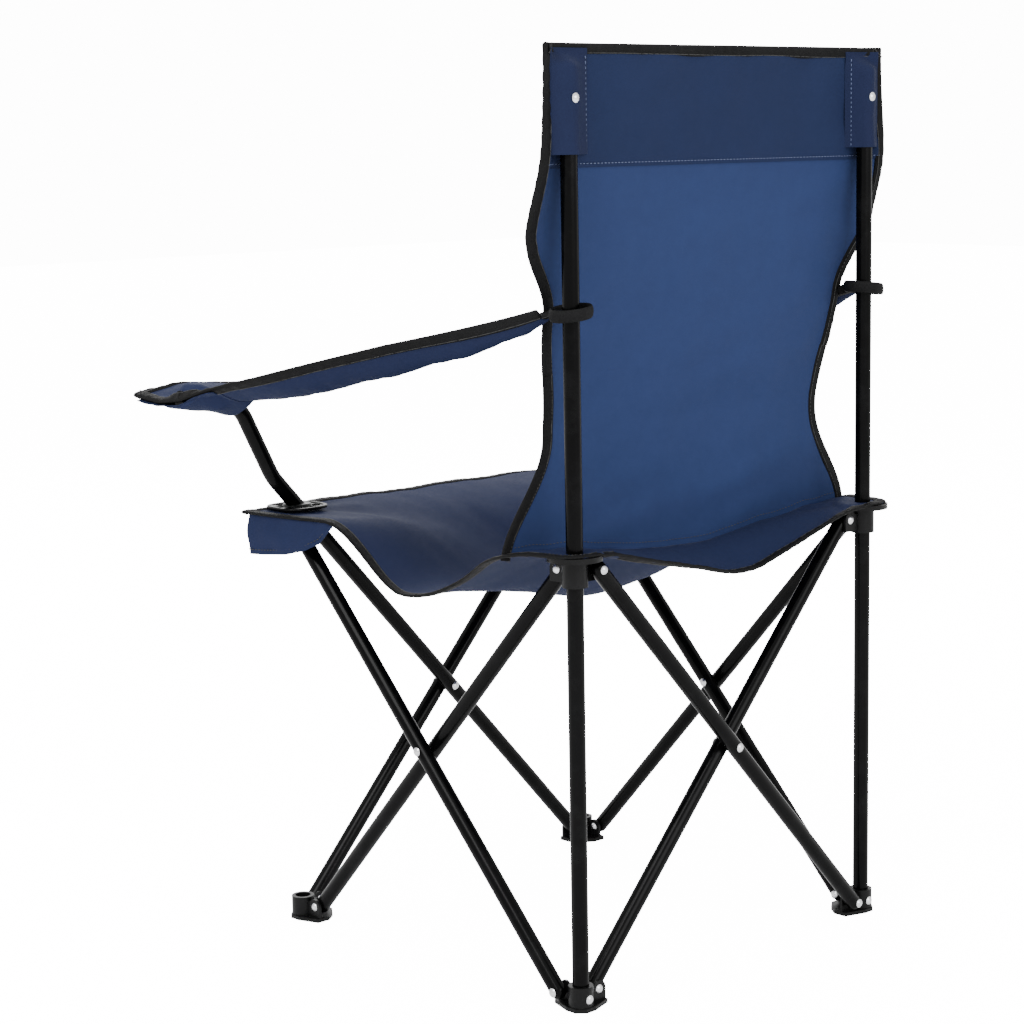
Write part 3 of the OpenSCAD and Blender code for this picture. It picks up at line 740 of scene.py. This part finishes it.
def add_seat():
    """Slung seat in two halves, with tape all round, round at the rear corners."""
    across = np.linspace(-1, 1, 97)[:, None]
    front_rows = even(SEAT_FRONT, SEAT_CREASE, 0.005)
    turn = np.linspace(0, PI / 2, 13)[1:]
    rear_rows = np.concatenate([even(SEAT_CREASE, ROUND_START, 0.005),
                                ROUND_START + CORNER_ROUND * np.sin(turn)])
    front = cloth("seat_cloth_front", seat_surface(across, front_rows[None]), NAVY)
    rear = cloth("seat_cloth_rear", seat_surface(across, rear_rows[None]), NAVY)

    def side_edge(s, rows, back_by=0.0):
        ones = np.ones_like(rows)
        return edge_of(seat_surface, s * ones, rows, s * 0.9 * ones, rows - back_by)

    def end_edge(y, inner_y):
        us = np.linspace(1, -1, 60)
        return edge_of(seat_surface, us, y + 0 * us, us * 0.98, inner_y + 0 * us)

    run = chain(side_edge(1, front_rows[::-1]), end_edge(SEAT_FRONT, SEAT_FRONT + 0.01),
                side_edge(-1, front_rows))
    front_tape = binding("seat_binding_front", *run, seed=31)
    side = rear_rows[:-4]
    run = chain(side_edge(1, side, 0.002), end_edge(SEAT_REAR, SEAT_REAR - 0.01),
                side_edge(-1, side[::-1], 0.002))
    rear_tape = binding("seat_binding_rear", *run, seed=33)

    riding(front, "seat_front_half", ["seat_front"], ACROSS)
    riding(front_tape, "seat_front_half", ["seat_tape_front"], ACROSS)
    riding(rear, "seat_rear_half", ["seat_rear"], ACROSS)
    riding(rear_tape, "seat_rear_half", ["seat_tape_rear"], ACROSS)


# ---- back ----

def facing_back(line):
    """Normals towards the rear, one for each point of a line."""
    return np.tile([0, 1.0, 0], (len(line), 1))


def add_back():
    """Slung back in two parts, with tape round its edges and a seam across the seat."""
    across = np.linspace(-1, 1, 89)
    low = np.stack([np.linspace(seam_height(u), BACK_CREASE, 40) for u in across])
    lower = cloth("back_cloth_lower", back_surface(across[:, None], low), NAVY_BACK_LIT)
    high = even(BACK_CREASE, BACK_TOP, 0.0055)
    upper = cloth("back_cloth_upper", back_surface(across[:, None], high[None]), NAVY_BACK_LIT)

    edges = []
    for name, s in SIDES.items():
        rows = even(float(seam_height(s)) - 0.004, BACK_CREASE, 0.004)
        ones = np.ones_like(rows)
        edge, inn = edge_of(back_surface, s * ones, rows, s * 0.9 * ones, rows)
        edges.append(binding(f"back_binding_lower_{name}", edge, inn, seed=40 + s))
    us = np.linspace(1, -1, 60)
    rows = even(BACK_CREASE, BACK_TOP - 0.002, 0.004)
    ones = np.ones_like(rows)
    left = edge_of(back_surface, ones, rows, 0.965 * ones, rows)
    right = edge_of(back_surface, -ones, rows[::-1], -0.965 * ones, rows[::-1])
    top = edge_of(back_surface, us, BACK_TOP + 0 * us, us * 0.98, BACK_TOP - 0.01 + 0 * us)
    upper_tape = binding("back_binding_upper", *chain(left, top, right), seed=45, height=0.0031)

    seam_u = np.linspace(-0.96, 0.96, 80)
    seam_rows = seam_height(seam_u) + 0.006
    seam_line = back_surface(seam_u, seam_rows)
    seam_line[:, 1] += CLOTH / 2 + 0.0001
    seam = stitches("seat_seam_stitches", seam_line, facing_back(seam_line), THREAD_DARK)

    riding(lower, "back_lower_half", ["back_lower"], ACROSS)
    riding(seam, "back_lower_half", [], ACROSS)
    for obj, nodes in zip(edges, (["back_tape_lower"], [])):
        riding(obj, "back_lower_half", nodes, ACROSS)
    riding(upper, "rear_left_post", ["back_upper"], ACROSS)
    riding(upper_tape, "rear_left_post", ["back_tape_upper"], ACROSS)


def add_head_band():
    """Second layer of cloth over the top of the back, turned in along its lower seam."""
    us = np.linspace(-0.965, 0.965, 81)[:, None]
    rows = np.concatenate([[BAND_LOW], even(BAND_LOW + 0.0012, BACK_TOP - 0.0085, 0.005)])
    grid = back_surface(us, rows[None])
    fold = ease((rows - BAND_LOW) / 0.004)
    rise = 0.0011 + 0.0007 * waves(grid[..., 0], grid[..., 2], 0.09, 51) * fold
    rear = grid.copy()
    rear[..., 1] += rise + 0.0006 * fold
    band = cloth("head_band_rear", rear, NAVY_DOUBLE, THIN_CLOTH)
    line = back_surface(us[:, 0], BAND_LOW + 0.0035 + 0 * us[:, 0])
    line[:, 1] += 0.0026
    seam = stitches("head_band_stitches", line, facing_back(line), THREAD_BLUE)
    riding(band, "rear_left_post", ["head_band"], ACROSS)
    riding(seam, "rear_left_post", [], ACROSS)


# ---- sleeves on the uprights ----

def stretched_over(x, inner, outer):
    """Depth at x of cloth pulled tight from its two sewn edges over a round upright."""
    angle = np.linspace(0, PI, 41)
    reach = TUBE_R + 0.0016
    px = np.concatenate([[inner], reach * np.cos(angle), [outer]])
    py = np.concatenate([[SLEEVE_FLAT], reach * np.sin(angle), [SLEEVE_FLAT + SLEEVE_LIFT]])
    order = np.argsort(px)
    px, py = px[order], py[order]
    depth = np.full_like(x, -1.0)
    for i in range(len(px)):
        for j in range(i + 1, len(px)):
            inside = (x >= px[i]) & (x <= px[j])
            line = mix(py[i], py[j], (x - px[i]) / max(px[j] - px[i], 1e-9))
            depth = np.where(inside, np.maximum(depth, line), depth)
    return depth


def add_sleeve(name):
    """Pocket of cloth over an upright: sewn down along both edges, tucked in under the top tape."""
    side = SIDES[name]
    inner = -0.0335 if side > 0 else -0.0190
    outer = 0.0215
    rows = even(SLEEVE_LOW, SLEEVE_HIGH, 0.0028)
    x = np.linspace(inner, outer, 61)
    depth = stretched_over(x, inner, outer)
    tuck = ease((rows - POST_TOP - 0.001) / (SLEEVE_HIGH - POST_TOP - 0.004))
    mouth = 1 - ease((rows - SLEEVE_LOW) / 0.016)
    lift = SLEEVE_LIFT * np.clip((x - 0.006) / 0.014, 0, 1) ** 2
    flat = SLEEVE_FLAT + lift + 0.0012
    gx = np.broadcast_to(x[:, None], (len(x), len(rows)))
    gz = np.broadcast_to(rows[None], gx.shape)
    gy = mix(depth[:, None], flat[:, None], tuck[None])
    middle = 1 - np.abs((gx - (inner + outer) / 2) / ((outer - inner) / 2)) ** 4
    ripple = 0.0005 * waves(gx, gz, 0.030, 61 + side) * (1 - tuck[None])
    gy = gy + middle * (0.0009 * mouth[None] + ripple)
    over_end = (1 - np.abs(gx / 0.016)).clip(0, 1) * (tuck * (1 - tuck) * 4)[None]
    gy = gy + 0.0022 * middle * over_end
    dimple = hump(np.hypot(gx, gz - 0.852) / 0.010)
    gy = gy - 0.0006 * dimple
    grid = points(side * (CORNER + gx), CORNER + gy, gz)
    if side > 0:
        grid = grid[:, ::-1]
    pocket = cloth(f"sleeve_cloth_{name}", grid, NAVY_SLEEVE_SHADED, THIN_CLOTH)
    tall = np.linspace(SLEEVE_LOW + 0.003, 0.888, 40)
    seam_x = inner + 0.0035
    seam_y = float(stretched_over(np.array([seam_x]), inner, outer)[0]) + 0.0006
    line = points(side * (CORNER + seam_x), CORNER + seam_y, tall)
    seam = stitches(f"sleeve_stitches_{name}", line, facing_back(line), THREAD_BLUE)
    body = f"rear_{name}_post"
    riding(pocket, body, [f"sleeve_{name}"])
    riding(seam, body)


# ---- armrests ----

def arm_anchor(name):
    """Y of the arm post, from the corners' middle, and the point that the armrest folds towards."""
    side = SIDES[name]
    post_y = -CORNER + side * 0.0086
    return post_y, (side * 0.300, post_y + SHIFT_Y, 0.573)


def add_armrest(name):
    """Slung armrest from the ring on the upright to the post, with tape round three sides."""
    side = SIDES[name]
    us = np.linspace(-1, 1, 33)
    grid = arm_surface(us[:, None], np.linspace(0, 1, 97)[None])
    vs = np.linspace(0, 1, 110)
    ones = np.ones_like(vs)
    inner = edge_of(arm_surface, -ones, vs, -0.8 * ones, vs)
    outer = edge_of(arm_surface, ones, vs[::-1], 0.8 * ones, vs[::-1])
    front = edge_of(arm_surface, us, np.ones_like(us), us * 0.95, 0.98 + 0 * us)
    edge, inn = chain(inner, front, outer)
    if side < 0:
        grid = mirrored(grid)
        edge, inn = edge[::-1] * (-1, 1, 1), inn[::-1] * (-1, 1, 1)
    sheet = cloth(f"armrest_cloth_{name}", grid, NAVY)
    tape = binding(f"armrest_binding_{name}", edge, inn, seed=70 + side, height=0.0026)
    body = f"{name}_armrest"
    axis_x, axis_y, axis_z = ARM_FOLD_AXIS
    fold = ((side * axis_x, axis_y, axis_z), arm_anchor(name)[1], ARM_KEEP)
    riding(sheet, body, [f"armrest_{name}"], fold)
    riding(tape, body, [f"arm_tape_{name}"], fold)


def add_arm_pocket(name):
    """Lower layer of cloth under the armrest's front, closed round the end of the post."""
    tube = f"tube_front_{ARM_TUBE[name]}"
    post_y, anchor = arm_anchor(name)
    end_low, end_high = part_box(tube)
    end_x = max(abs(end_low.x), abs(end_high.x))
    under_end = end_high.z - 2 * TUBE_R / math.cos(POST_END_SLOPE)
    rear_reach, front_reach, post_reach = 0.052, 0.066, 0.006

    flat_x = np.linspace(0.298, end_x + 0.0012, 40)
    turn = np.linspace(0, PI / 2, 12)[1:]
    x = np.concatenate([flat_x, end_x + 0.0012 + 0.0016 * np.sin(turn)])
    close = np.concatenate([np.ones(40), np.cos(turn)])
    dy = np.concatenate([np.linspace(rear_reach, 0.009, 22), np.linspace(0.007, -0.007, 9),
                         np.linspace(-0.009, -front_reach, 28)])
    gx, gy = np.broadcast_arrays(x[:, None], post_y + dy[None])

    # The armrest's height over the pocket and over the post, before its edge turns down.
    v = (gy - ARM_REAR) / (ARM_FRONT - ARM_REAR)
    u = np.clip((gx - arm_middle(v)) / arm_half(v), -1, 1)
    above = arm_surface(u, v)[..., 2] - THIN_CLOTH
    level = above + arm_turn_down(u, v)
    post_v = (post_y - ARM_REAR) / (ARM_FRONT - ARM_REAR)
    post_u = np.clip((x - ARM_MIDDLE[1]) / ARM_HALF[1], -1, 1)
    at_post = arm_surface(post_u, post_v)[..., 2] + arm_turn_down(post_u, post_v) - THIN_CLOTH

    drop = at_post - (under_end - (end_x - x) * math.tan(POST_END_SLOPE) - 0.0011)
    reach = np.where(dy > 0, rear_reach, front_reach)
    fall = np.clip(1 - (np.abs(dy) - post_reach) / (reach - post_reach), 0, 1)
    depth = (drop * close)[:, None] * np.sin(PI / 2 * fall)[None]
    under_tape = 0.0030 * ease((gx - 0.338) / 0.006)
    gz = np.minimum(level - depth, above - under_tape)
    gz = gz + 0.0005 * waves(gx, gy, 0.03, 91) * (depth > 0.002)
    grid = points(gx, gy, gz)
    if SIDES[name] < 0:
        grid = mirrored(grid)
    pocket = cloth(f"armrest_pocket_{name}", grid, NAVY, THIN_CLOTH)
    body = f"front_tube_{ARM_TUBE[name]}"
    riding(pocket, body, [], ((0, 1, 0), anchor, POCKET_KEEP))


def add_tape_loop(name):
    """The armrest's tape, sewn to a loop round the upright and leaning with the armrest."""
    low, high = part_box(f"arm_ring_{name}")
    centre = ((low.x + high.x) / 2, (low.y + high.y) / 2)
    r, middle = (high.x - low.x) / 2, (low.z + high.z) / 2
    angle = np.linspace(0, 2 * PI, 21)[:-1]
    profile = [(r - 0.0005 + 0.0020 * math.cos(a), middle + 0.0058 * math.sin(a)) for a in angle]
    loop = solid_of_turn(f"armrest_loop_{name}", profile, centre, TAPE)
    for vertex in loop.data.vertices:
        vertex.co.z -= SIDES[name] * (vertex.co.x - centre[0]) * 0.13
    riding(loop, f"rear_{name}_post")


# ---- pockets over the front hubs ----

def add_flap(name):
    """Cloth that hangs from the seat's edge round a front corner, with a sewn hem."""
    side = SIDES[name]
    bend, side_x, front_y, top = 0.010, 0.249, SEAT_FRONT + 0.001, 0.4370
    run_side = even(-0.112, front_y + bend, 0.003)
    turn = np.linspace(0, PI / 2, 9)[1:-1]
    run_front = even(side_x - bend, 0.180, 0.004)
    along_edge = seat_half(run_side) + (side_x - seat_half(front_y + bend))
    x = np.concatenate([along_edge, side_x - bend + bend * np.cos(turn), run_front])
    y = np.concatenate([run_side, front_y + bend - bend * np.sin(turn),
                        np.full_like(run_front, front_y)])
    out_x = np.concatenate([np.ones_like(run_side), np.cos(turn), 0 * run_front])
    out_y = np.concatenate([0 * run_side, -np.sin(turn), -np.ones_like(run_front)])
    low = np.interp(y, [-0.236, -0.205, -0.175, -0.150, -0.130, -0.112],
                    [0.395, 0.397, 0.400, 0.406, 0.415, 0.433])
    t = np.linspace(0, 1, 13)
    z = mix(top, low[:, None], t[None])
    index = np.arange(len(x))
    bulge = 0.0022 * np.sin(PI * t)[None] * hump((index / len(x) - 0.4) / 0.5)[:, None]
    out = bulge + 0.0008 * waves(index[:, None] * 0.003, z, 0.03, 81)
    grid = points(x[:, None] + out_x[:, None] * out, y[:, None] + out_y[:, None] * out, z)
    hem = points(x + out_x * 0.0011, y + out_y * 0.0011, low + 0.005)
    normal = np.stack([out_x, out_y, 0 * out_x], axis=-1)
    if side < 0:
        grid = mirrored(grid)
        hem, normal = hem * (-1, 1, 1), normal * (-1, 1, 1)
    flap = cloth(f"corner_pocket_{name}", grid, NAVY, THIN_CLOTH)
    seam = stitches(f"corner_pocket_stitches_{name}", hem, normal, THREAD_DARK)
    body = f"front_{name}_hub"
    riding(flap, body, [f"flap_{name}"])
    riding(seam, body)


# ---- plates on the seat, where the arm posts come through ----

def plate_rib(centre, angle, start, end, base):
    """One low rib of a plate, as vertices, faces, UVs and material."""
    out = np.array([math.cos(angle), math.sin(angle), 0])
    wide = np.array([-out[1], out[0], 0]) * 0.0011
    lift = np.array([0, 0, 0.0014])
    a = np.array([*centre, base]) + out * start
    b = np.array([*centre, base]) + out * end
    foot = [a - wide, a + wide, b + wide, b - wide]
    crest = [a - wide / 2 + lift, a + wide / 2 + lift, b + wide / 2 + lift, b - wide / 2 + lift]
    verts = np.array(foot + crest)
    faces = [(3, 2, 1, 0), (4, 5, 6, 7), (0, 1, 5, 4), (1, 2, 6, 5), (2, 3, 7, 6), (3, 0, 4, 7)]
    return verts, faces, verts[:, :2], GLOSS_PLASTIC


def add_gasket(name):
    """Rounded square plate with a rim and ribs, and a collar round the post."""
    low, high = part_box(f"seat_plate_{name}")
    centre = ((low.x + high.x) / 2 - SIDES[name] * 0.003, (low.y + high.y) / 2 + 0.003)
    r = (high.x - low.x) / 2
    base, top = low.z, high.z
    rim = [(r - 0.0006, base), (r, base + 0.0006), (r, top - 0.0012), (r - 0.0005, top - 0.0003),
           (r - 0.0020, top), (r - 0.0034, top - 0.0004), (r - 0.0042, top - 0.0018)]
    collar = [(0.0160, top - 0.0018), (0.0150, top - 0.0004), (0.0145, top + 0.0010),
              (0.0130, top + 0.0018), (TUBE_R + 0.0024, top + 0.0018),
              (TUBE_R - 0.002, top + 0.0012)]
    profile = [(TUBE_R - 0.002, base)] + rim + collar
    plate = solid_of_turn(f"post_gasket_{name}", profile, centre, GLOSS_PLASTIC, corners=1.0)
    ribs = [plate_rib(centre, (k + 0.5) * PI / 4, 0.0150, r - 0.0036, top - 0.0020)
            for k in range(8)]
    ribbing = join_parts(f"post_gasket_ribs_{name}", ribs)
    body = f"front_tube_{ARM_TUBE[name]}"
    riding(plate, body, [f"seat_plate_{name}"])
    riding(ribbing, body)


# ---- CAD nodes keep their shape and get their finish ----

def finish_cad_nodes():
    """Gives every CAD node the material of its slot."""
    by_slot = {"black_tube": TUBE_COAT, "black_plastic": PLASTIC, "rivet_metal": STEEL,
               "navy_cloth": NAVY, "black_tape": TAPE}
    slots = {s["node"]: s["material_slot"] for s in frame["record"]["subparts"]}
    for name, obj in frame["nodes"].items():
        obj.data.materials.clear()
        obj.data.materials.append(by_slot[slots[name]])


# ---- stage ----

def add_area_light(name, place, target, size, power):
    """Rectangular lamp at place, turned towards target."""
    data = bpy.data.lights.new(name, "AREA")
    data.shape = "RECTANGLE"
    data.size, data.size_y = size
    data.energy = power
    light = bpy.data.objects.new(name, data)
    light.location = place
    light.rotation_mode = "QUATERNION"
    light.rotation_quaternion = (Vector(target) - Vector(place)).to_track_quat("-Z", "Y")
    bpy.context.scene.collection.objects.link(light)


def add_floor():
    """Wide pale floor under the feet."""
    half = 12.0
    mesh = bpy.data.meshes.new("floor")
    mesh.from_pydata([(-half, -half, 0), (half, -half, 0), (half, half, 0), (-half, half, 0)],
                     [], [(0, 1, 2, 3)])
    mesh.materials.append(FLOOR)
    floor = bpy.data.objects.new("floor", mesh)
    bpy.context.scene.collection.objects.link(floor)


def add_world():
    """Soft white light all round, shown brighter to the camera than it shines."""
    world = bpy.data.worlds.new("studio")
    world.use_nodes = True
    tree = world.node_tree
    soft = tree.nodes["Background"]
    bright = tree.nodes.new("ShaderNodeBackground")
    for background, strength in ((soft, 1.5), (bright, BACKDROP_GLOW)):
        background.inputs["Color"].default_value = (1.0, 1.0, 1.0, 1)
        background.inputs["Strength"].default_value = strength
    seen = tree.nodes.new("ShaderNodeLightPath")
    both = tree.nodes.new("ShaderNodeMixShader")
    tree.links.new(seen.outputs["Is Camera Ray"], both.inputs[0])
    tree.links.new(soft.outputs[0], both.inputs[1])
    tree.links.new(bright.outputs[0], both.inputs[2])
    tree.links.new(both.outputs[0], tree.nodes["World Output"].inputs["Surface"])
    bpy.context.scene.world = world


def add_stage():
    """Floor, sky and three soft lamps."""
    add_floor()
    add_world()
    add_area_light("key", (2.2, 0.6, 2.6), (0, 0, 0.45), (1.6, 1.6), 90)
    add_area_light("fill", (0.2, 3.2, 1.6), (0, 0, 0.5), (2.2, 1.6), 60)
    add_area_light("front", (-1.8, -2.4, 2.4), (0, 0, 0.4), (2.0, 2.0), 70)


add_camera()
finish_cad_nodes()
add_seat()
add_back()
add_head_band()
add_sleeve("left")
add_sleeve("right")
for side_name in SIDES:
    add_armrest(side_name)
    add_arm_pocket(side_name)
    add_tape_loop(side_name)
    add_flap(side_name)
    add_gasket(side_name)
add_stage()
